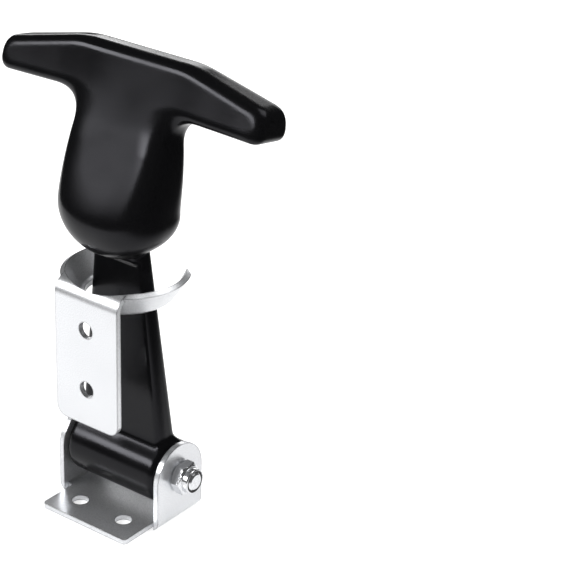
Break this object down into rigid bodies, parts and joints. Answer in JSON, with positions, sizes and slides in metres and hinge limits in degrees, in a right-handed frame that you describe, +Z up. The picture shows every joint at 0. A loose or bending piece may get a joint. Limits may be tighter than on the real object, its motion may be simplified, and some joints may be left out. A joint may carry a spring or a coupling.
{
  "type": "draw latch",
  "caption": "Moulded rubber pull latch with a T grip, a bulb and a tapered strap that turns on a folded pivot bracket, with a dished open keeper round the strap.",
  "frame": {"origin": "on the underside of the base plate, straight below the middle of the pivot", "axes": "+Z up the strap to the grip, -Y to the front where the base lip and the keeper plate are, +X along the pivot screw to the nut"},
  "size_m": [0.0844, 0.0291, 0.1262],
  "materials": {
    "rubber": "satin moulded rubber",
    "zinc_sheet": "bright zinc plated sheet",
    "zinc_fastener": "bright zinc plated",
    "nylon": "black nylon"
  },
  "bodies": {
    "bracket": {"pivot_bracket": "zinc_sheet", "pivot_screw": "zinc_fastener", "lock_nut": "zinc_fastener", "nylon_insert": "nylon"},
    "handle": {"rubber_handle": "rubber", "keeper_bracket": "zinc_sheet"}
  },
  "joints": [
    {"name": "handle_pivot", "type": "hinge", "parent": "bracket", "child": "handle", "pos_m": [0, 0, 0.0135], "axis": [1, 0, 0], "range_deg": [-90, 70]}
  ]
}
